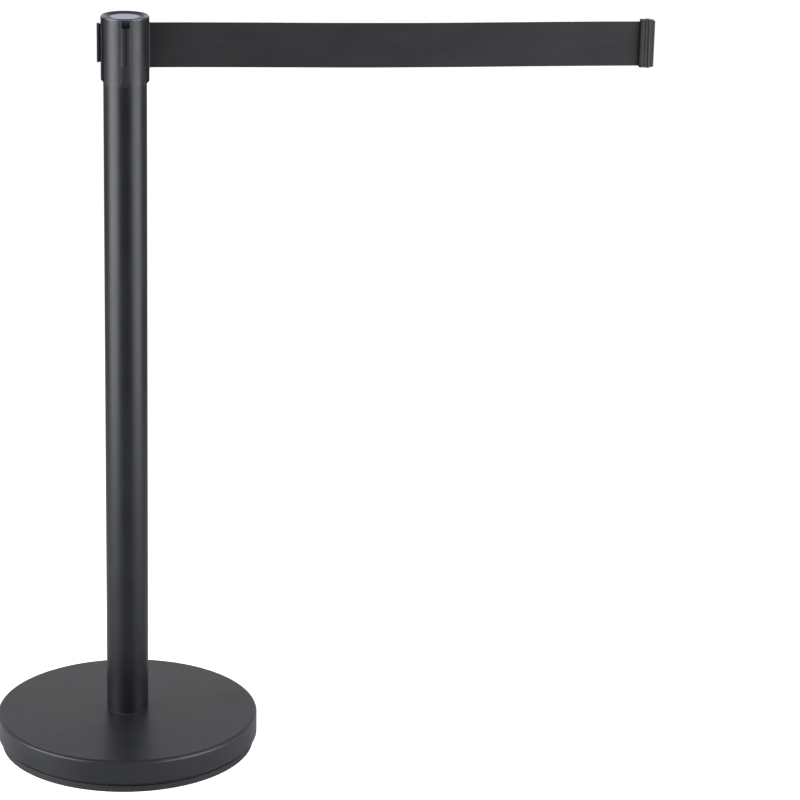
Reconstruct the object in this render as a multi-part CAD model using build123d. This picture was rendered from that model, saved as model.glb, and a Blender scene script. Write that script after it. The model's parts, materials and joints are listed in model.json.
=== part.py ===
from build123d import *
import math
import os

# A retractable belt stanchion in millimetres. The origin is the middle of the base's underside, +Z is up,
# and the belt leaves the head towards +X. The belt is drawn out and its end clip stands where the next
# post's rail holds it.

# Base
BASE_R = 160.0
RIM_HEIGHT = 41.6
CROWN_HEIGHT = 44.0
CROWN_LAND_R = 32.0
COVER_WALL = 1.6
COVER_EDGE_R = 3.4
COVER_LOW = 13.4
RING_R = 155.2
RING_WALL = 4.2
RING_TOP = 12.4
RING_LIP = 2.4
RING_LIP_TOP = 8.0
PAN_LOW = 3.0
PAN_WALL = 1.0
WEIGHT_R = 148.7
WEIGHT_TOP = 30.0
WEIGHT_BOSS_R = 36.0
BOLT_POCKET_R = 22.5
BOLT_POCKET_TOP = 14.0

# Post and its M10 fixing
POST_R = 25.5
POST_WALL = 1.5
GASKET = 1.0
POST_LOW = CROWN_HEIGHT + GASKET
POST_TOP = 831.0
FOOT_HEIGHT = 30.0
BOLT_R = 5.0
BOLT_LENGTH = 60.0
BOLT_HEAD = 6.4
BOLT_ACROSS_FLATS = 17.0
WASHER = 2.0
LOCK_WASHER = 2.2

# Head shell, flush with the tube, its four raised lands, and the cap that overhangs it
HEAD_R = POST_R
HEAD_BORE_R = 24.0
HEAD_TOP = 909.2
LAND_R = 28.4
LAND_WIDTH = 11.2
LAND_LOW = 832.8
OUTLET_LAND_LOW = 831.4
OUTLET_MARGIN = 1.3
OUTLET_FACE = 28.7
NOTCH_R = 26.0
NOTCH_WIDTH = 8.4
NOTCH_TOP = 907.0
CAP_R = 27.8
CAP_TOP = 911.2
CAP_LOW = 906.6
LABEL_R = 21.5
LABEL_SEAT = 908.4

# T rails that hold the end clips of other posts
RAIL_LOW = 856.5
RAIL_TOP = 901.5
RAIL_WIDTH = 9.6
RAIL_FACE = 32.7
RAIL_BACK = 29.9
RAIL_FOOT = 26.6
RAIL_WEB = 3.2
RAIL_TURNS = {"left": 180, "front": -90, "rear": 90}
RAIL_SCREW_HEIGHTS = (866.0, 892.0)

# Belt
BELT_WIDTH = 53.0
BELT_THICK = 0.5
BELT_MIDDLE = 876.0
BELT_LOW = BELT_MIDDLE - BELT_WIDTH / 2
BELT_HIGH = BELT_MIDDLE + BELT_WIDTH / 2
BELT_ON_REEL = 1500.0

# Reel and cassette
SPINDLE_R = 3.0
NECK_R = 6.0
HUB_R = 7.5
ANCHOR_R = 1.2
ANCHOR_X = HUB_R - ANCHOR_R - 0.1
REEL_FLANGE_R = 20.2
REEL_FLANGE = 1.2
REEL_LOW = BELT_LOW - 0.3
REEL_HIGH = BELT_HIGH + 0.3
RUNNING = 0.05
PLATE_R = 23.7
PLATE_LOW = 840.4
PLATE_HIGH = 905.0
PLATE_LOW_THICK = 2.0
PLATE_HIGH_THICK = CAP_LOW - PLATE_HIGH
BUSH_R = 7.6
BUSH_COLLAR_R = 9.0
GUIDE_PIN_R = 1.5
GUIDE_PIN_X = 21.95

# Return spring in the top of the post
PLUG_LOW = 818.6
PLUG_FLOOR = 3.0
PLUG_R = HEAD_BORE_R - 0.15
PLUG_BORE_R = 22.6
CASE_R = 22.4
CASE_WALL = 1.4
CASE_LOW = PLUG_LOW + PLUG_FLOOR + 0.2
CASE_TOP = 838.0
SPRING_LOW = 825.0
SPRING_WIDTH = 11.0
SPRING_INNER_R = 7.4
SPRING_OUTER_R = 19.9
SPRING_PITCH = 1.5
SPRING_THICK = 0.35

# Screws at the back of the head: the lower pair holds the tube to the plug, the upper pair the shell
FIXING_HEIGHTS = (826.0, 836.2)
FIXING_TURNS = (45, 135)
FIXING_HEAD_R = 2.7
FIXING_SEAT = POST_R - 0.2

# End clip, measured from its belt side
CLIP_X = 606.8
CLIP_LENGTH = 16.6
CLIP_LOW = 848.2
CLIP_HIGH = 904.8
CLIP_POCKET = (2.2, 9.8)
CLIP_POCKET_Y = 3.6
CLIP_SLOT = (11.4, 15.6)
CLIP_SLOT_WIDTH = 10.4
CLIP_MOUTH = 4.4
CLIP_PIN_X = 6.0
CLIP_PIN_R = 1.6

SMALL_GAP = 0.1
PAST = 5.0


def disc(radius, low, high, x=0.0, y=0.0):
    """An upright cylinder between two heights."""
    return Pos(x, y, (low + high) / 2) * Cylinder(radius, high - low)


def ring(outer, inner, low, high, x=0.0, y=0.0):
    """A disc with a round hole right through it."""
    return disc(outer, low, high, x, y) - disc(inner, low - PAST, high + PAST, x, y)


def block(x, y, z):
    """A box from its lowest and highest value along each axis."""
    middle = Pos(sum(x) / 2, sum(y) / 2, sum(z) / 2)
    return middle * Box(x[1] - x[0], y[1] - y[0], z[1] - z[0])


def turned(*outline):
    """A solid of revolution about Z from an outline of (radius, height) points."""
    return revolve(Plane.XZ * make_face(Polyline(*outline, close=True)), Axis.Z)


def rod_along_x(radius, x, z):
    """A cylinder that lies along X at height z."""
    return Pos(sum(x) / 2, 0, z) * Rot(0, 90, 0) * Cylinder(radius, x[1] - x[0])


# Base


def dome(inset):
    """The body of the cover, or with an inset its hollow: crown, step, round edge and straight skirt."""
    edge_x = BASE_R - COVER_EDGE_R
    edge_z = RIM_HEIGHT - COVER_EDGE_R
    step = 0.4
    low = COVER_LOW - (PAST if inset else 0)
    crown = Polyline(
        (edge_x, RIM_HEIGHT - inset),
        (edge_x - step, RIM_HEIGHT + step - inset),
        (CROWN_LAND_R, CROWN_HEIGHT - inset),
        (0, CROWN_HEIGHT - inset),
        (0, low),
        (BASE_R - inset, low),
        (BASE_R - inset, edge_z),
    )
    edge = CenterArc((edge_x, edge_z), COVER_EDGE_R - inset, 0, 90)
    return revolve(Plane.XZ * make_face([*crown.edges(), edge]), Axis.Z)


def base_cover():
    bolt_hole = disc(BOLT_R + 1.0, 0, CROWN_HEIGHT + PAST)
    return dome(0) - dome(COVER_WALL) - bolt_hole


def floor_ring():
    """Rubber ring: an upright wall with a foot under the pan and a rounded lip outside."""
    wall_r = RING_R - RING_WALL
    neck_r = RING_R - RING_LIP
    body = turned(
        (138, 0),
        (RING_R, 0),
        (RING_R, RING_LIP_TOP),
        (neck_r, RING_LIP_TOP),
        (neck_r, RING_TOP),
        (wall_r, RING_TOP),
        (wall_r, PAN_LOW),
        (138, PAN_LOW),
    )
    rims = body.edges().filter_by(GeomType.CIRCLE).group_by(SortBy.RADIUS)[-1]
    return fillet(rims, 0.8)


def weight_pan():
    outer = RING_R - RING_WALL - 0.2
    tray = disc(outer, PAN_LOW, RING_TOP) - disc(outer - PAN_WALL, PAN_LOW + PAN_WALL, RING_TOP + PAST)
    return tray - disc(BOLT_POCKET_R, 0, RING_TOP)


def base_weight():
    low = PAN_LOW + PAN_WALL
    boss_top = CROWN_HEIGHT - COVER_WALL
    body = turned(
        (0, low),
        (WEIGHT_R, low),
        (WEIGHT_R, WEIGHT_TOP - 4),
        (WEIGHT_R - 4, WEIGHT_TOP),
        (WEIGHT_BOSS_R + 8, WEIGHT_TOP),
        (CROWN_LAND_R - 2, boss_top),
        (0, boss_top),
    )
    pocket = disc(BOLT_POCKET_R, 0, BOLT_POCKET_TOP)
    return body - pocket - disc(BOLT_R + 1.5, 0, CROWN_HEIGHT)


def base_washer():
    return ring(18, BOLT_R + 0.4, BOLT_POCKET_TOP - WASHER, BOLT_POCKET_TOP)


def lock_washer():
    """A split spring washer, pressed flat."""
    high = BOLT_POCKET_TOP - WASHER
    split = Rot(0, 0, 20) * block((0, 15), (-0.6, 0.6), (0, high + PAST))
    return ring(9.2, BOLT_R + 0.3, high - LOCK_WASHER, high) - split


def base_bolt():
    seat = BOLT_POCKET_TOP - WASHER - LOCK_WASHER
    hexagon = RegularPolygon(BOLT_ACROSS_FLATS / 2, 6, major_radius=False)
    head = Pos(0, 0, seat - BOLT_HEAD) * extrude(hexagon, BOLT_HEAD)
    shank = disc(BOLT_R, seat, seat + BOLT_LENGTH)
    return chamfer((head + shank).faces().sort_by(Axis.Z)[-1].edges(), 0.8)


# Post


def post_gasket():
    return ring(POST_R, BOLT_R + 2, CROWN_HEIGHT, POST_LOW)


def post_foot():
    body = ring(POST_R - POST_WALL - 0.1, BOLT_R + RUNNING, POST_LOW, POST_LOW + FOOT_HEIGHT)
    return chamfer(body.faces().sort_by(Axis.Z)[-1].outer_wire().edges(), 1.0)


def post_tube():
    return ring(POST_R, POST_R - POST_WALL, POST_LOW, POST_TOP) - fixing_rods(1.6) - fixing_rods(2.9, FIXING_SEAT)


def fixing_rods(radius, start=20.0, end=40.0):
    """Rods where the fixing screws go, as their holes, seats, heads or shanks."""
    pair = rod_along_x(radius, (start, end), FIXING_HEIGHTS[0]) + rod_along_x(radius, (start, end), FIXING_HEIGHTS[1])
    return Rot(0, 0, FIXING_TURNS[0]) * pair + Rot(0, 0, FIXING_TURNS[1]) * pair


# Head


def on_rail_sides(shape):
    """The same shape on the three sides of the head that carry a rail."""
    turned_shapes = [Rot(0, 0, turn) * shape for turn in RAIL_TURNS.values()]
    return turned_shapes[0] + turned_shapes[1] + turned_shapes[2]


def land(low):
    """A raised strip up the +X side of the shell that slopes into it at its lower end."""
    inner = HEAD_R - 1
    slope_top = low + LAND_R - HEAD_R
    strip = turned((inner, low), (HEAD_R, low), (LAND_R, slope_top), (LAND_R, HEAD_TOP), (inner, HEAD_TOP))
    strip &= block((0, 40), (-LAND_WIDTH / 2, LAND_WIDTH / 2), (low, HEAD_TOP))
    corners = [edge for edge in strip.edges().filter_by(Axis.Z) if edge.center().X > HEAD_R + 1]
    return fillet(corners, 0.6)


def head_body():
    shell = ring(HEAD_R, HEAD_BORE_R, POST_TOP, HEAD_TOP)
    shell += on_rail_sides(land(LAND_LOW))
    outlet = (BELT_LOW - OUTLET_MARGIN, BELT_HIGH + OUTLET_MARGIN)
    shell += land(OUTLET_LAND_LOW) - disc(LAND_R + PAST, *outlet)
    half_web = RAIL_WEB / 2 + SMALL_GAP
    web_pocket = block((RAIL_FOOT - SMALL_GAP, 40), (-half_web, half_web), (RAIL_LOW - SMALL_GAP, RAIL_TOP))
    notch = block((NOTCH_R, 40), (-NOTCH_WIDTH / 2, NOTCH_WIDTH / 2), (RAIL_TOP, NOTCH_TOP))
    shell -= on_rail_sides(web_pocket + notch)
    for height in RAIL_SCREW_HEIGHTS:
        shell -= on_rail_sides(rod_along_x(1.4, (20, 40), height))
    shell -= block((20, 40), (-3.5, 3.5), outlet)
    return shell - fixing_rods(1.6) - fixing_rods(2.9, FIXING_SEAT)


def rail(turn):
    """One T rail with a shallow groove down its face, turned to its side of the head."""
    half = RAIL_WIDTH / 2
    flange = block((RAIL_BACK, RAIL_FACE), (-half, half), (RAIL_LOW, RAIL_TOP))
    flange = fillet(flange.faces().sort_by(Axis.X)[-1].edges(), 0.7)
    groove = block((RAIL_FACE - 0.8, 40), (-0.8, 0.8), (0, RAIL_TOP + PAST))
    web = block((RAIL_FOOT, RAIL_BACK), (-RAIL_WEB / 2, RAIL_WEB / 2), (RAIL_LOW, RAIL_TOP - SMALL_GAP))
    shape = flange - groove + web
    for height in RAIL_SCREW_HEIGHTS:
        shape -= rod_along_x(1.3, (20, RAIL_FACE - 1.3), height)
    return Rot(0, 0, turn) * shape


def rail_screws():
    """Two pan-head screws for each rail, driven from inside the shell."""
    shapes = []
    for height in RAIL_SCREW_HEIGHTS:
        head = rod_along_x(2.2, (HEAD_BORE_R - 1.9, HEAD_BORE_R - 0.3), height)
        shank = rod_along_x(1.25, (HEAD_BORE_R - 0.3, RAIL_FACE - 1.6), height)
        shapes.append(on_rail_sides(head + shank))
    return shapes[0] + shapes[1]


def head_screws():
    """Four cross-head screws at the back."""
    top = FIXING_SEAT + 1.2
    screws = []
    for height in FIXING_HEIGHTS:
        head = rod_along_x(FIXING_HEAD_R, (FIXING_SEAT, top), height)
        head = fillet(head.faces().sort_by(Axis.X)[-1].edges(), 0.5)
        head -= block((top - 0.8, 40), (-1.5, 1.5), (height - 0.3, height + 0.3))
        head -= block((top - 0.8, 40), (-0.3, 0.3), (height - 1.5, height + 1.5))
        screws.append(head + rod_along_x(1.5, (PLUG_BORE_R + 0.3, FIXING_SEAT), height))
    pair = screws[0] + screws[1]
    return Rot(0, 0, FIXING_TURNS[0]) * pair + Rot(0, 0, FIXING_TURNS[1]) * pair


def outlet_guide():
    """Frame in the belt's outlet, with rounded lips."""
    frame = block((HEAD_BORE_R + 0.15, OUTLET_FACE), (-3.4, 3.4), (BELT_LOW - 1.2, BELT_HIGH + 1.2))
    slot = block((20, 40), (-1.2, 1.2), (BELT_LOW - 0.4, BELT_HIGH + 0.4))
    lips = (frame - slot).faces().sort_by(Axis.X)[-1].edges().filter_by(Axis.Z)
    return fillet(lips, 0.9)


def top_cap():
    body = turned(
        (0, CAP_LOW),
        (HEAD_BORE_R - 0.3, CAP_LOW),
        (HEAD_BORE_R - 0.3, HEAD_TOP),
        (CAP_R, HEAD_TOP),
        (CAP_R, CAP_TOP - 0.9),
        (CAP_R - 0.9, CAP_TOP),
        (CAP_R - 2.4, CAP_TOP),
        (LABEL_R + 1.2, LABEL_SEAT + 1.1),
        (LABEL_R + 0.2, LABEL_SEAT + 1.1),
        (LABEL_R + 0.2, LABEL_SEAT),
        (0, LABEL_SEAT),
    )
    for x in (-12, 12):
        body -= disc(3.1, LABEL_SEAT - 0.9, LABEL_SEAT + PAST, x)
        body -= disc(1.6, 0, LABEL_SEAT + PAST, x)
    return body


def cap_label():
    """Plain domed badge that covers the cap's screws."""
    plate = disc(LABEL_R, LABEL_SEAT, LABEL_SEAT + 1.0)
    return fillet(plate.faces().sort_by(Axis.Z)[-1].edges(), 0.6)


def cap_screws():
    seat = LABEL_SEAT - 0.9
    screws = [disc(2.9, seat, LABEL_SEAT - 0.1, x) + disc(1.45, PLATE_HIGH + 0.1, seat, x) for x in (-12, 12)]
    return screws[0] + screws[1]


# Cassette and reel


def cassette_base():
    return ring(PLATE_R, BUSH_R + SMALL_GAP, PLATE_LOW, PLATE_LOW + PLATE_LOW_THICK)


def cassette_top():
    plate = ring(PLATE_R, BUSH_R + SMALL_GAP, PLATE_HIGH, PLATE_HIGH + PLATE_HIGH_THICK)
    for x in (-12, 12):
        plate -= disc(1.5, 0, CAP_TOP, x)
    return plate


def guide_pin_y():
    return GUIDE_PIN_R + SMALL_GAP + BELT_THICK / 2


def guide_pins():
    """Two pins that hold the plates apart and lead the belt to its outlet."""
    low, high = PLATE_LOW + PLATE_LOW_THICK, PLATE_HIGH
    y = guide_pin_y()
    return disc(GUIDE_PIN_R, low, high, GUIDE_PIN_X, -y) + disc(GUIDE_PIN_R, low, high, GUIDE_PIN_X, y)


def spindle():
    low = PLUG_LOW - 3
    body = disc(SPINDLE_R, low, PLATE_HIGH + PLATE_HIGH_THICK - 0.3)
    groove = ring(SPINDLE_R + 1, SPINDLE_R - 0.6, PLUG_LOW - 1.1, PLUG_LOW)
    return chamfer((body - groove).faces().sort_by(Axis.Z)[0].edges(), 0.5)


def spindle_clip():
    """E clip in the spindle's groove, under the plug."""
    mouth = block((0, 12), (-2.0, 2.0), (0, PLUG_LOW))
    return ring(5.5, SPINDLE_R - 0.55, PLUG_LOW - 1.0, PLUG_LOW) - mouth


def lower_bush():
    """Bush in the lower plate, with a thrust collar under the reel."""
    seat = PLATE_LOW + PLATE_LOW_THICK
    sleeve = ring(BUSH_R, NECK_R + RUNNING, PLATE_LOW, seat)
    return sleeve + ring(BUSH_COLLAR_R, NECK_R + RUNNING, seat, REEL_LOW - REEL_FLANGE - 0.3)


def upper_bush():
    low = PLATE_HIGH - 0.7
    sleeve = ring(BUSH_R, NECK_R + RUNNING, low, PLATE_HIGH + PLATE_HIGH_THICK)
    return sleeve + ring(BUSH_COLLAR_R, NECK_R + RUNNING, low, PLATE_HIGH)


def spool_hub():
    """Core of the reel: necks for the bushes, a bore for the spindle and a groove for the belt's rod."""
    body = disc(HUB_R, REEL_LOW, REEL_HIGH) + disc(NECK_R, SPRING_LOW + 1, PLATE_HIGH + 1)
    bore = disc(SPINDLE_R + RUNNING, 0, CAP_TOP)
    half = ANCHOR_R + SMALL_GAP
    return body - bore - block((ANCHOR_X - half, HUB_R + PAST), (-half, half), (REEL_LOW, REEL_HIGH))


def spool_flange(low):
    return ring(REEL_FLANGE_R, NECK_R + 0.02, low, low + REEL_FLANGE)


def belt_anchor():
    return disc(ANCHOR_R, REEL_LOW + 0.2, REEL_HIGH - 0.2, ANCHOR_X)


def roll_radius():
    """Radius of the roll that the wound length of belt makes on the hub."""
    return math.sqrt(HUB_R**2 + BELT_ON_REEL * BELT_THICK / math.pi)


def belt_roll():
    return ring(roll_radius(), HUB_R + 0.05, BELT_LOW, BELT_HIGH)


# Return spring


def head_plug():
    """Cup that joins the tube and the shell from inside, and carries the cassette on its rim."""
    cup = disc(PLUG_R, PLUG_LOW, PLATE_LOW) - disc(PLUG_BORE_R, PLUG_LOW + PLUG_FLOOR, PLATE_LOW + PAST)
    return cup - disc(SPINDLE_R + SMALL_GAP, 0, PLATE_LOW) - fixing_rods(1.5)


def spring_case():
    cup = disc(CASE_R, CASE_LOW, CASE_TOP) - disc(CASE_R - CASE_WALL, CASE_LOW + CASE_WALL, CASE_TOP + PAST)
    return cup - disc(SPINDLE_R + SMALL_GAP, 0, CASE_TOP)


def spring_lid():
    return ring(CASE_R, NECK_R + 0.4, CASE_TOP, CASE_TOP + CASE_WALL)


def mainspring():
    """Flat spiral of half circles about two centres, each half a pitch larger than the last."""
    halves = round(2 * (SPRING_OUTER_R - SPRING_INNER_R) / SPRING_PITCH)
    coil = Sketch()
    for half in range(halves):
        radius = SPRING_INNER_R + half * SPRING_PITCH / 2
        centre_x = SPRING_PITCH / 4 * (1 if half % 2 else -1)
        band = Circle(radius + SPRING_THICK / 2) - Circle(radius - SPRING_THICK / 2)
        side = 1 if half % 2 else -1
        keep = Pos(0, side * SPRING_OUTER_R) * Rectangle(4 * SPRING_OUTER_R, 2 * SPRING_OUTER_R)
        coil += Pos(centre_x, 0) * band & keep
    return Pos(0, 0, SPRING_LOW) * extrude(coil, SPRING_WIDTH)


# Belt and end clip


def belt_run():
    """The belt from the reel round the guide pin, out through the head and round the clip's pin."""
    bend_r = guide_pin_y()
    wound_r = roll_radius() + SMALL_GAP + BELT_THICK / 2
    pin_angle = math.atan2(-bend_r, GUIDE_PIN_X)
    leave_angle = pin_angle - math.acos((wound_r + bend_r) / math.hypot(GUIDE_PIN_X, bend_r))
    leave = (wound_r * math.cos(leave_angle), wound_r * math.sin(leave_angle))
    corner = (wound_r / math.cos(leave_angle), 0)
    pin_x = CLIP_X + CLIP_PIN_X
    path = FilletPolyline(leave, corner, (pin_x - CLIP_PIN_R - BELT_THICK / 2, 0), radius=bend_r)
    strip = trace(path, BELT_THICK)
    loop = Pos(pin_x, 0) * (Circle(CLIP_PIN_R + 0.1 + BELT_THICK) - Circle(CLIP_PIN_R + 0.1))
    return Pos(0, 0, BELT_LOW) * extrude(strip + loop, BELT_WIDTH)


def clip_outline():
    """Plan of the end clip: a small rib at the belt, a valley, a large rib and the jaws."""
    ribs = Spline((0, 4.4), (1.3, 5.9), (3.0, 5.9), (4.9, 4.7), (7.0, 6.1), (9.2, 7.3), (11.4, 6.9))
    jaws = FilletPolyline((11.4, 6.9), (CLIP_LENGTH, 6.9), (CLIP_LENGTH, 0), radius=1.4)
    side = [*ribs.edges(), *jaws.edges(), *Polyline((CLIP_LENGTH, 0), (0, 0), (0, 4.4)).edges()]
    half = make_face(side)
    return half + mirror(half, Plane.XZ)


def clip_blank():
    """The clip's outside, with its jaws a little shorter than its ribs."""
    blank = Pos(CLIP_X, 0, CLIP_LOW) * extrude(clip_outline(), CLIP_HIGH - CLIP_LOW)
    ends = blank.faces().group_by(Axis.Z)
    blank = fillet(ends[0].edges() + ends[-1].edges(), 0.6)
    jaw_x = (CLIP_X + 12.0, CLIP_X + 40)
    blank -= block(jaw_x, (-20, 20), (CLIP_HIGH - 1.0, CLIP_HIGH + PAST))
    return blank - block(jaw_x, (-20, 20), (CLIP_LOW - PAST, CLIP_LOW + 1.0))


def clip_pocket(gap):
    """The pocket for the belt's loop, open at the back, smaller by a gap on each side."""
    low, high = (CLIP_X + end for end in CLIP_POCKET)
    return block((low + gap, high - gap), (-CLIP_POCKET_Y, 20), (BELT_LOW - 0.3 + gap, BELT_HIGH + 0.3 - gap))


def clip_body():
    slot_x = [CLIP_X + end for end in CLIP_SLOT]
    half = CLIP_SLOT_WIDTH / 2
    rail_slot = block(slot_x, (-half, half), (CLIP_LOW - PAST, RAIL_TOP + 0.4))
    mouth = block((slot_x[0], CLIP_X + 40), (-CLIP_MOUTH / 2, CLIP_MOUTH / 2), (CLIP_LOW - PAST, RAIL_TOP + 0.4))
    belt_slot = block((CLIP_X - PAST, CLIP_X + 3), (-0.6, 0.6), (BELT_LOW - 0.3, BELT_HIGH + 0.3))
    return clip_blank() - clip_pocket(0) - rail_slot - mouth - belt_slot


def clip_plate():
    """Snap-in back of the clip, which follows its ribs."""
    back = block((CLIP_X, CLIP_X + CLIP_LENGTH), (CLIP_POCKET_Y - 0.2, 20), (CLIP_LOW, CLIP_HIGH))
    return clip_blank() & clip_pocket(SMALL_GAP) & back


def belt_pin():
    return disc(CLIP_PIN_R, BELT_LOW, BELT_HIGH, CLIP_X + CLIP_PIN_X)


def all_parts():
    parts = {
        "floor_ring": floor_ring(),
        "weight_pan": weight_pan(),
        "base_weight": base_weight(),
        "base_cover": base_cover(),
        "base_washer": base_washer(),
        "lock_washer": lock_washer(),
        "base_bolt": base_bolt(),
        "post_gasket": post_gasket(),
        "post_foot": post_foot(),
        "post_tube": post_tube(),
        "head_plug": head_plug(),
        "head_body": head_body(),
        "head_screws": head_screws(),
        "rail_screws": rail_screws(),
        "outlet_guide": outlet_guide(),
        "top_cap": top_cap(),
        "cap_label": cap_label(),
        "cap_screws": cap_screws(),
        "cassette_base": cassette_base(),
        "cassette_top": cassette_top(),
        "guide_pins": guide_pins(),
        "spindle": spindle(),
        "spindle_clip": spindle_clip(),
        "lower_bush": lower_bush(),
        "upper_bush": upper_bush(),
        "spool_hub": spool_hub(),
        "spool_flange_low": spool_flange(REEL_LOW - REEL_FLANGE),
        "spool_flange_high": spool_flange(REEL_HIGH),
        "belt_anchor": belt_anchor(),
        "belt_roll": belt_roll(),
        "spring_case": spring_case(),
        "spring_lid": spring_lid(),
        "mainspring": mainspring(),
        "belt_run": belt_run(),
        "clip_body": clip_body(),
        "clip_plate": clip_plate(),
        "belt_pin": belt_pin(),
    }
    for side, turn in RAIL_TURNS.items():
        parts["rail_" + side] = rail(turn)
    return parts


os.makedirs("parts", exist_ok=True)
for name, shape in all_parts().items():
    export_step(Compound(children=list(shape.solids())), os.path.join("parts", name + ".step"))
print("roll radius", round(roll_radius(), 2), "guide pin y", guide_pin_y())
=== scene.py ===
import bpy
import json
import math
from mathutils import Matrix, Vector
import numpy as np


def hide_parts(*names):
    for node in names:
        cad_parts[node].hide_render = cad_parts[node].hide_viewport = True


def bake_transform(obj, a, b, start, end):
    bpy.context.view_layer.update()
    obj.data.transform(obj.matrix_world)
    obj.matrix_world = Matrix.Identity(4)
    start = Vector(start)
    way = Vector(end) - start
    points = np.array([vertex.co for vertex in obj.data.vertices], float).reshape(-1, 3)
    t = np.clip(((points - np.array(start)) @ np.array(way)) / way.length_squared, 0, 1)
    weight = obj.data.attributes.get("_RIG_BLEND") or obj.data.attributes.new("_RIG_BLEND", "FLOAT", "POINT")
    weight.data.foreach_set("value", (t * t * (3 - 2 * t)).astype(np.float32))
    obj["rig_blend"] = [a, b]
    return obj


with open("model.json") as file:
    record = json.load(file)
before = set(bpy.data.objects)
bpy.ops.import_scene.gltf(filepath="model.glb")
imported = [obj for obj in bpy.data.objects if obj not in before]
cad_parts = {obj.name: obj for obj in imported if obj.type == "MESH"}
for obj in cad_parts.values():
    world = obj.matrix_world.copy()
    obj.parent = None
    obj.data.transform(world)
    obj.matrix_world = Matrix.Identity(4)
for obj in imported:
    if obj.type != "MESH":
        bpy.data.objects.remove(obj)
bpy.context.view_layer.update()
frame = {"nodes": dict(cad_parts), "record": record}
nodes = frame["nodes"]
MM = 0.001


# Camera: left of the post and above it, looking down along +Y. Its shift is small, so that other views stay framed

SENSOR = 36
FRAME_WIDTH = 800
FOCAL_IN_PIXELS = 3031
SHIFT = (0.05, -0.04)
CAMERA_AT = (-0.117, -3.479, 1.560)
YAW, PITCH, ROLL = (math.radians(angle) for angle in (6.54, 17.15, 1.115))

camera_data = bpy.data.cameras.new("camera")
camera_data.lens = FOCAL_IN_PIXELS / FRAME_WIDTH * SENSOR
camera_data.sensor_width = SENSOR
camera_data.shift_x, camera_data.shift_y = SHIFT
camera = bpy.data.objects.new("camera", camera_data)
bpy.context.collection.objects.link(camera)
turn = Matrix.Rotation(-YAW, 4, "Z") @ Matrix.Rotation(math.pi / 2 - PITCH, 4, "X") @ Matrix.Rotation(ROLL, 4, "Z")
camera.matrix_world = Matrix.Translation(CAMERA_AT) @ turn
bpy.context.scene.camera = camera
bpy.context.scene.view_settings.view_transform = "Standard"


# Materials


def put(tree, socket, value):
    """Links a socket, or sets it where the value is plain."""
    if isinstance(value, bpy.types.NodeSocket):
        tree.links.new(value, socket)
    else:
        socket.default_value = value


def add_node(tree, kind, settings=(), inputs=()):
    """A new shader node's outputs, with its settings made and its inputs fed."""
    made = tree.nodes.new("ShaderNode" + kind)
    for name, value in dict(settings).items():
        setattr(made, name, value)
    for key, value in dict(inputs).items():
        put(tree, made.inputs[key], value)
    return made.outputs


def fade(tree, value, low, high, to_low, to_high):
    """A value mapped from one range to another, smoothly, and held at both ends."""
    inputs = {0: value, 1: low, 2: high, 3: to_low, 4: to_high}
    return add_node(tree, "MapRange", {"interpolation_type": "SMOOTHSTEP"}, inputs)[0]


class Look:
    """One material: a Principled shader and the nodes that feed it, placed by the piece's own coordinates."""

    def __init__(self, name, **sockets):
        self.material = bpy.data.materials.new(name)
        self.material.use_nodes = True
        self.tree = self.material.node_tree
        self.tree.nodes.clear()
        self.shader = self.tree.nodes.new("ShaderNodeBsdfPrincipled")
        output = self.tree.nodes.new("ShaderNodeOutputMaterial")
        self.tree.links.new(self.shader.outputs["BSDF"], output.inputs["Surface"])
        self.place = self.tree.nodes.new("ShaderNodeTexCoord").outputs["Object"]
        self.set(**sockets)

    def set(self, **sockets):
        """Feeds the shader's sockets, by name."""
        for name, value in sockets.items():
            put(self.tree, self.shader.inputs[name], value)

    def node(self, kind, settings=(), inputs=()):
        return add_node(self.tree, kind, settings, inputs)[0]

    def math(self, operation, a, b=0.0, c=0.0):
        return self.node("Math", {"operation": operation}, {0: a, 1: b, 2: c})

    def stretched(self, scale):
        """The piece's coordinates, scaled along each axis."""
        return self.node("Mapping", {}, {"Vector": self.place, "Scale": scale})

    def noise(self, scale, detail=3.0, roughness=0.55, vector=None, distortion=0.0):
        inputs = {"Scale": scale, "Detail": detail, "Roughness": roughness, "Distortion": distortion}
        return self.node("TexNoise", {}, {"Vector": vector or self.place, **inputs})

    def cells(self, scale, feature="F1"):
        return self.node("TexVoronoi", {"feature": feature}, {"Vector": self.place, "Scale": scale})

    def span(self, value, low, high, to_low=0.0, to_high=1.0):
        return fade(self.tree, value, low, high, to_low, to_high)

    def blend(self, share, a, b):
        """A colour between two."""
        ends = [(*end, 1) if isinstance(end, tuple) else end for end in (a, b)]
        return add_node(self.tree, "Mix", {"data_type": "RGBA"}, {0: share, 6: ends[0], 7: ends[1]})[2]

    def axes(self):
        """The piece's X, Y and Z as three values."""
        return add_node(self.tree, "SeparateXYZ", {}, {0: self.place})

    def radius(self):
        """The distance from the Z axis."""
        x, y, _ = self.axes()
        return self.math("SQRT", self.math("MULTIPLY_ADD", x, x, self.math("MULTIPLY", y, y)))

    def bump(self, height, distance, strength=1.0, under=None):
        inputs = {"Height": height, "Distance": distance, "Strength": strength}
        if under:
            inputs["Normal"] = under
        return self.node("Bump", {}, inputs)


def shine(level):
    """The Principled shader's specular level, where 0.5 is an ordinary plastic."""
    return {"Specular IOR Level": level}


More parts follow.
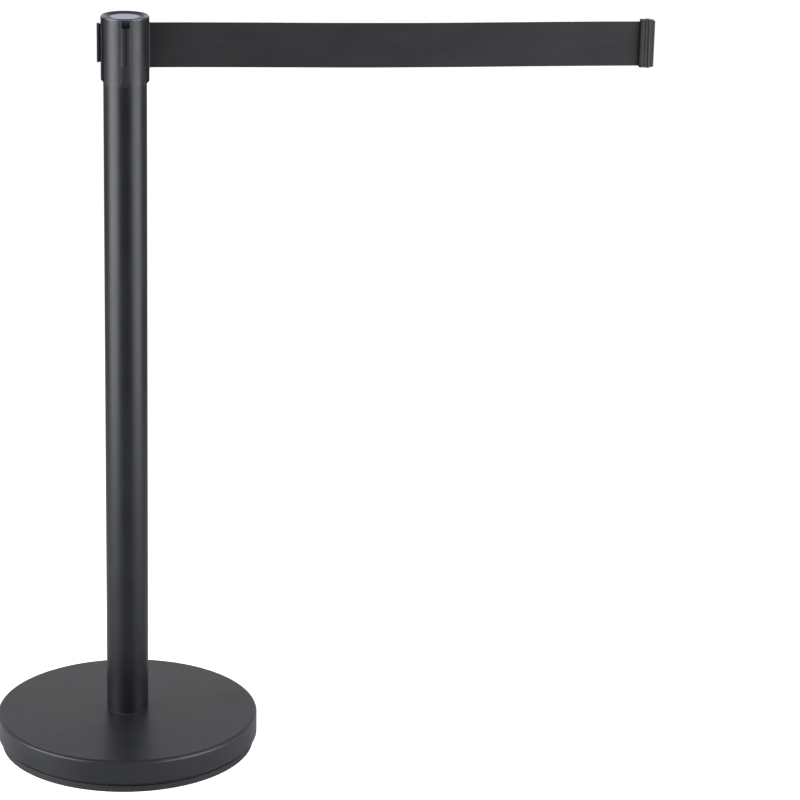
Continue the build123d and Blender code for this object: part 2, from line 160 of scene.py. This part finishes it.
def powder_coat(name, dark, light, roughness, scuffs):
    """Satin powder coat: orange peel, fine grain, faint cloudy shade, and thin scuffs where a post is knocked."""
    look = Look(name, **shine(0.18))
    cloud = look.noise(14, 4)
    speck = look.noise(1900, 2)
    colour = look.blend(look.span(cloud, 0.3, 0.7), dark, light)
    colour = look.blend(look.span(speck, 0.60, 0.72, 0, 0.35), colour, tuple(2.2 * c for c in light))
    height = look.axes()[2]
    low_down = look.span(height, 0.012, 0.05, 1.0, 0.12)
    scratch = look.noise(60, 2, 0.5, look.stretched((1.2, 1.2, 14)), 0.6)
    worn = look.math("MULTIPLY", look.span(scratch, 0.70, 0.74, 0, scuffs), low_down)
    colour = look.blend(worn, colour, (0.05, 0.05, 0.053))
    rough = look.math("ADD", look.span(cloud, 0.25, 0.75, roughness - 0.03, roughness + 0.04), worn)
    peel = look.bump(look.noise(520, 1), 0.05 * MM, 0.55)
    grain = look.bump(speck, 0.02 * MM, 0.6, peel)
    look.set(**{"Base Color": colour, "Roughness": rough, "Normal": grain})
    return look.material


def moulded(name, dark, light, roughness, texture=0.03, scale=2600, **sockets):
    """Moulded plastic: an even spark-eroded texture, flow marks and handled shine."""
    look = Look(name, **sockets)
    flow = look.noise(22, 3, 0.5, look.stretched((1, 1, 0.35)), 0.4)
    grain = look.cells(scale)
    colour = look.blend(look.span(flow, 0.3, 0.7), dark, light)
    handled = look.span(look.noise(45, 4), 0.45, 0.65)
    shine = look.math("MULTIPLY", handled, -0.05)
    rough = look.math("ADD", shine, look.span(flow, 0.3, 0.7, roughness, roughness + 0.04))
    bump = look.bump(grain, texture * MM, 0.6, look.bump(look.noise(300, 2), 0.03 * MM, 0.5))
    look.set(**{"Base Color": colour, "Roughness": rough, "Normal": bump})
    return look.material


def rubber(name):
    """Matt rubber with fine pores and pale dust that gathers low down."""
    look = Look(name, **shine(0.25))
    pores = look.noise(1500, 3)
    patches = look.span(look.noise(70, 5), 0.5, 0.75)
    dust = look.math("MULTIPLY", patches, look.span(look.axes()[2], 0.0, 0.006, 0.45, 0.05))
    clean = look.blend(look.span(pores, 0.4, 0.7), (0.006, 0.006, 0.0065), (0.011, 0.011, 0.0115))
    colour = look.blend(dust, clean, (0.040, 0.038, 0.036))
    rough = look.span(pores, 0.3, 0.7, 0.62, 0.78)
    look.set(**{"Base Color": colour, "Roughness": rough, "Normal": look.bump(pores, 0.06 * MM, 0.7)})
    return look.material


def brushed(name, colour, roughness, along, fine=900):
    """Drawn or plated steel: fine lines along one axis and a faint cloudy tarnish."""
    look = Look(name, Metallic=1.0)
    lines = look.noise(fine, 2, 0.6, look.stretched(along))
    cloud = look.noise(90, 4)
    dull = tuple(0.72 * c for c in colour)
    shade = look.blend(look.span(cloud, 0.35, 0.7), colour, dull)
    shade = look.blend(look.span(lines, 0.35, 0.65, 0, 0.25), shade, dull)
    tarnish = look.span(cloud, 0.4, 0.7, 0, 0.08)
    rough = look.math("ADD", look.span(lines, 0.3, 0.7, roughness, roughness + 0.12), tarnish)
    look.set(**{"Base Color": shade, "Roughness": rough, "Normal": look.bump(lines, 0.01 * MM, 0.5)})
    return look.material


def concrete(name):
    """Rough cast concrete: stones, sand and small voids."""
    look = Look(name)
    stones = look.cells(110)
    sand = look.noise(700, 4)
    holes = look.span(look.cells(240, "DISTANCE_TO_EDGE"), 0.0, 0.12)
    colour = look.blend(look.span(stones, 0.1, 0.6), (0.30, 0.29, 0.27), (0.50, 0.48, 0.45))
    colour = look.blend(look.span(sand, 0.55, 0.75), colour, (0.20, 0.19, 0.18))
    rock = look.bump(stones, 0.8 * MM, 0.5, look.bump(sand, 0.3 * MM, 0.8))
    look.set(**{"Base Color": colour, "Roughness": look.span(holes, 0, 1, 0.95, 0.85), "Normal": rock})
    return look.material


CORD_PITCH = 1.25 * MM
PICK_PITCH = 1.1 * MM


def webbing(name):
    """Woven polyester: warp cords along the belt, crossed by picks, with the sheen of the yarn."""
    sheen = {"Sheen Weight": 0.02, "Sheen Roughness": 0.45, "Sheen Tint": (0.75, 0.78, 0.85, 1)}
    look = Look(name, **sheen, **shine(0.1))
    x, _, z = look.axes()
    warp = look.math("SINE", look.math("MULTIPLY", z, 2 * math.pi / CORD_PITCH))
    pick = look.math("SINE", look.math("MULTIPLY", x, 2 * math.pi / PICK_PITCH))
    crossing = look.math("MULTIPLY", warp, pick)
    yarn = look.noise(2600, 2, 0.6, look.stretched((0.35, 1, 1.6)))
    tone = look.noise(34, 3, 0.5, look.stretched((0.25, 1, 1)))
    # Weave colour: the raised crossings are painted lighter as a painted highlight on the weave's relief, and the
    # yarn noise adds the yarn's own uneven tone. The same mix also sets the roughness.
    weave_highlight_and_yarn_tone = look.math("ADD", look.math("MULTIPLY", crossing, 0.25), yarn)
    colour = look.blend(look.span(weave_highlight_and_yarn_tone, 0.15, 0.85), (0.0030, 0.0030, 0.0032), (0.0125, 0.0125, 0.0132))
    colour = look.blend(look.span(tone, 0.35, 0.7, 0, 0.35), colour, (0.014, 0.014, 0.0148))
    weave = look.bump(crossing, 0.07 * MM, 0.8, look.bump(yarn, 0.05 * MM, 0.8))
    look.set(**{"Base Color": colour, "Roughness": look.span(weave_highlight_and_yarn_tone, 0.1, 0.9, 0.62, 0.80), "Normal": weave})
    return look.material


# Where the badge's colours change, as distances from its middle in metres
PALE_TO = (0.0165, 0.0169)
RING_FROM = (0.0172, 0.0175)
RING_TO = (0.0203, 0.0206)


def badge(name):
    """Plain printed badge with a satin skin: a pale brushed face in a blue ring, with no lettering."""
    look = Look(name, **shine(0.12))
    radius = look.radius()
    grain = look.noise(420, 2, 0.6, look.stretched((1, 6, 1)))
    pale = look.blend(look.span(grain, 0.3, 0.7), (0.40, 0.43, 0.53), (0.52, 0.55, 0.64))
    face = look.blend(look.span(radius, *PALE_TO), pale, (0.07, 0.12, 0.26))
    ring = look.blend(look.span(radius, *RING_FROM), face, (0.010, 0.020, 0.070))
    edge = look.blend(look.span(radius, *RING_TO), ring, (0.04, 0.055, 0.08))
    rough = look.span(grain, 0.3, 0.7, 0.30, 0.42)
    look.set(**{"Base Color": edge, "Roughness": rough, "Normal": look.bump(grain, 0.01 * MM, 0.3)})
    return look.material


looks = {
    "ring_rubber": rubber("ring_rubber"),
    "pan_steel": brushed("pan_steel", (0.46, 0.47, 0.47), 0.38, (1, 1, 1), 300),
    "cast_concrete": concrete("cast_concrete"),
    "cover_paint": powder_coat("cover_paint", (0.0072, 0.0074, 0.0092), (0.0100, 0.0104, 0.0127), 0.38, 0.35),
    "zinc_steel": brushed("zinc_steel", (0.58, 0.58, 0.55), 0.34, (1, 1, 0.2)),
    "post_paint": powder_coat("post_paint", (0.0022, 0.0023, 0.0032), (0.0036, 0.0038, 0.0052), 0.39, 0.3),
    "inner_plastic": moulded("inner_plastic", (0.06, 0.06, 0.065), (0.09, 0.09, 0.095), 0.5),
    "head_plastic": moulded("head_plastic", (0.0045, 0.0047, 0.0060), (0.0068, 0.0071, 0.0090), 0.43, **shine(0.2)),
    "black_screws": brushed("black_screws", (0.05, 0.05, 0.05), 0.35, (1, 1, 1)),
    "rail_plastic": moulded("rail_plastic", (0.0070, 0.0070, 0.0078), (0.010, 0.010, 0.011), 0.40, **shine(0.2)),
    "cap_plastic": moulded("cap_plastic", (0.026, 0.032, 0.045), (0.038, 0.046, 0.062), 0.30, 0.008, **shine(0.28)),
    "label_face": badge("label_face"),
    "bright_steel": brushed("bright_steel", (0.62, 0.62, 0.62), 0.24, (1, 1, 0.15)),
    "bush_plastic": moulded("bush_plastic", (0.66, 0.64, 0.58), (0.74, 0.72, 0.66), 0.42),
    "belt_webbing": webbing("belt_webbing"),
    "clip_plastic": moulded("clip_plastic", (0.0050, 0.0050, 0.0053), (0.0078, 0.0078, 0.0083), 0.44, **shine(0.11)),
}
for part in frame["record"]["subparts"]:
    data = nodes[part["node"]].data
    data.materials.clear()
    data.materials.append(looks[part["material_slot"]])


# Belt: woven strip from the reel round the guide pin, out of the head and round the clip's pin

BELT_WIDTH = 53 * MM
BELT_MIDDLE = 876 * MM
OUTLET_X = 28.3 * MM
CLIP_X = 606.8 * MM
PIN_X = 612.8 * MM
REEL_POINT = (14.66 * MM, -9.60 * MM)
CORNER = (20.95 * MM, 0.0)
BEND_R = 1.85 * MM
RUN_END = (PIN_X - 4.2 * MM, 0.0)
LOOP_R = 1.96 * MM
LOOP_FROM, LOOP_TO = 150, -150
HEM_END = (PIN_X - 4.4 * MM, -0.53 * MM)
SAG = 1.3 * MM

# Across the belt: half thicknesses of its middle and its thicker selvedges, their ribs, and the grooves beside them
COLUMNS = 260
SELVEDGE = 2.6 * MM
GROOVES = (SELVEDGE, SELVEDGE + 1.6 * MM)
GROOVE_DEPTH = 0.13 * MM
GROOVE_SPREAD = 0.16 * MM
MIDDLE_HALF = 0.20 * MM
MIDDLE_RIB = 0.045 * MM
SELVEDGE_HALF = 0.30 * MM
SELVEDGE_RIB = 0.02 * MM
SELVEDGE_RIB_WIDTH = 0.4 * MM
EDGE_ROUND = 0.3 * MM


def arc(centre, radius, start, end, steps):
    """Points along a circle between two angles in degrees."""
    angles = [math.radians(start + (end - start) * i / steps) for i in range(steps + 1)]
    return [(centre[0] + radius * math.cos(a), centre[1] + radius * math.sin(a)) for a in angles]


def straight(a, b, steps):
    """Points between two, without the first."""
    return [tuple(p + (q - p) * i / steps for p, q in zip(a, b)) for i in range(1, steps + 1)]


def belt_route():
    """The belt's middle line seen from above."""
    heading = math.atan2(CORNER[1] - REEL_POINT[1], CORNER[0] - REEL_POINT[0])
    cut = BEND_R * math.tan(heading / 2)
    enter = (CORNER[0] - cut * math.cos(heading), CORNER[1] - cut * math.sin(heading))
    centre = (enter[0] + BEND_R * math.sin(heading), enter[1] - BEND_R * math.cos(heading))
    route = [REEL_POINT] + straight(REEL_POINT, enter, 5)
    route += arc(centre, BEND_R, 90 + math.degrees(heading), 90, 7)[1:]
    route += straight(route[-1], RUN_END, 240)
    loop = arc((PIN_X, 0), LOOP_R, LOOP_FROM, LOOP_TO, 26)
    route += straight(RUN_END, loop[0], 3)
    route += loop[1:]
    route += straight(route[-1], HEM_END, 3)
    return route


def cord_profile():
    """Points across the belt as (height from the middle, half thickness), with ribs and two thicker selvedges."""
    half = BELT_WIDTH / 2
    section = []
    for i in range(COLUMNS + 1):
        z = -half + BELT_WIDTH * i / COLUMNS
        inset = half - abs(z)
        thick = MIDDLE_HALF + MIDDLE_RIB * abs(math.sin(math.pi * z / CORD_PITCH))
        if inset < SELVEDGE:
            thick = SELVEDGE_HALF + SELVEDGE_RIB * math.cos(math.pi * inset / SELVEDGE_RIB_WIDTH)
        for groove in GROOVES:
            thick -= GROOVE_DEPTH * math.exp(-(((inset - groove) / GROOVE_SPREAD) ** 2))
        thick *= min(1.0, math.sqrt(max(inset, 0) / EDGE_ROUND) + 0.25)
        section.append((z, thick))
    return section


def share_at(x):
    """How far along the open run a point lies, from 0 at the outlet to 1 at the clip."""
    return min(max((x - OUTLET_X) / (CLIP_X - OUTLET_X), 0.0), 1.0)


def belt_mesh(name):
    """Sweeps the section along the route and closes the strip's edges and ends."""
    route, section = belt_route(), cord_profile()
    width = len(section)
    length = [0.0]
    for a, b in zip(route, route[1:]):
        length.append(length[-1] + math.dist(a, b))
    vertices, faces = [], []
    for k, (x, y) in enumerate(route):
        before, after = route[max(k - 1, 0)], route[min(k + 1, len(route) - 1)]
        along = Vector((after[0] - before[0], after[1] - before[1])).normalized()
        side = Vector((-along.y, along.x))
        share = share_at(x)
        hang = math.sin(math.pi * share)
        sag = -SAG * hang * hang
        for face in (1, -1):
            for z, thick in section:
                edge = z / (BELT_WIDTH / 2)
                wave = 0.35 * math.sin(9 * share * math.pi + 1.2 * edge)
                wave += 0.5 * math.sin(3.2 * share * math.pi - 0.8 * edge)
                cup = 0.5 * (edge * edge - 0.35)
                lean = MM * hang * (0.55 * wave + cup)
                offset = face * thick + lean
                vertices.append((x + side.x * offset, y + side.y * offset, BELT_MIDDLE + z + sag))
    ring = 2 * width
    for k in range(len(route) - 1):
        a, b = k * ring, (k + 1) * ring
        for j in range(width - 1):
            faces.append((a + j, a + j + 1, b + j + 1, b + j))
            faces.append((a + width + j, b + width + j, b + width + j + 1, a + width + j + 1))
        faces.append((a + width - 1, a + ring - 1, b + ring - 1, b + width - 1))
        faces.append((a, b, b + width, a + width))
    for k, flip in ((0, False), (len(route) - 1, True)):
        a = k * ring
        for j in range(width - 1):
            cap = (a + j, a + width + j, a + width + j + 1, a + j + 1)
            faces.append(cap[::-1] if flip else cap)
    mesh = bpy.data.meshes.new(name)
    mesh.from_pydata(vertices, [], faces)
    mesh.validate()
    mesh.polygons.foreach_set("use_smooth", [True] * len(mesh.polygons))
    mesh.update()
    return mesh, length[-1]


strip, belt_length = belt_mesh("belt")
belt = bpy.data.objects.new("belt", strip)
bpy.context.collection.objects.link(belt)
strip.materials.append(looks["belt_webbing"])
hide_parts("belt_run")
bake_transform(belt, "root", "belt_end", start=(OUTLET_X, 0, BELT_MIDDLE), end=(CLIP_X, 0, BELT_MIDDLE))
strip.attributes["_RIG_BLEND"].data.foreach_set("value", [share_at(v.co.x) for v in strip.vertices])


# Studio: pale floor, two tall side lights, and a soft surround that is dimmer in front and overhead


def floor():
    """A pale floor whose glow only the camera sees, so that it looks white and adds no light."""
    mesh = bpy.data.meshes.new("floor")
    reach = 40
    corners = [(-reach, -reach, 0), (reach, -reach, 0), (reach, reach, 0), (-reach, reach, 0)]
    mesh.from_pydata(corners, [], [(0, 1, 2, 3)])
    obj = bpy.data.objects.new("floor", mesh)
    bpy.context.collection.objects.link(obj)
    look = Look("floor", Roughness=0.85)
    colour = look.blend(look.noise(3, 2), (0.49, 0.49, 0.49), (0.51, 0.51, 0.51))
    glow = look.math("MULTIPLY", look.node("LightPath"), 0.80)
    look.set(**{"Base Color": colour, "Emission Color": (1, 1, 1, 1), "Emission Strength": glow})
    mesh.materials.append(look.material)


def softbox(name, place, target, size, power):
    """A rectangular light aimed at a point, which the camera doesn't see."""
    data = bpy.data.lights.new(name, "AREA")
    data.shape = "RECTANGLE"
    data.size, data.size_y = size
    data.energy = power
    data.color = (0.95, 0.975, 1.0)
    obj = bpy.data.objects.new(name, data)
    obj.location = place
    obj.rotation_euler = (Vector(target) - Vector(place)).to_track_quat("-Z", "Y").to_euler()
    obj.visible_camera = False
    bpy.context.collection.objects.link(obj)


def surround():
    """A world that is white to the camera, and lights the object most from its sides and back."""
    world = bpy.data.worlds.new("surround")
    bpy.context.scene.world = world
    world.use_nodes = True
    tree = world.node_tree
    tree.nodes.clear()

    def node(kind, settings=(), inputs=()):
        return add_node(tree, kind, settings, inputs)[0]

    towards = add_node(tree, "TexCoord")["Generated"]
    _, y, z = add_node(tree, "SeparateXYZ", {}, {0: towards})
    front = fade(tree, y, -0.9, -0.1, 0.35, 1.0)
    back = fade(tree, y, 0.3, 1.0, 1.0, 1.25)
    overhead = fade(tree, z, 0.35, 0.8, 1.0, 0.3)
    around = node("Math", {"operation": "MULTIPLY"}, {0: front, 1: back})
    level = node("Math", {"operation": "MULTIPLY"}, {0: around, 1: overhead})
    strength = node("Mix", {}, {0: node("LightPath"), 2: level, 3: 1.0})
    light = node("Background", {}, {"Color": (1, 1, 1, 1), "Strength": strength})
    add_node(tree, "OutputWorld", {}, {0: light})


floor()
softbox("left", (-1.24, -0.50, 0.62), (0, 0, 0.62), (1.25, 1.25), 72)
softbox("right", (1.15, -0.66, 0.62), (0, 0, 0.62), (1.15, 1.25), 50)
surround()
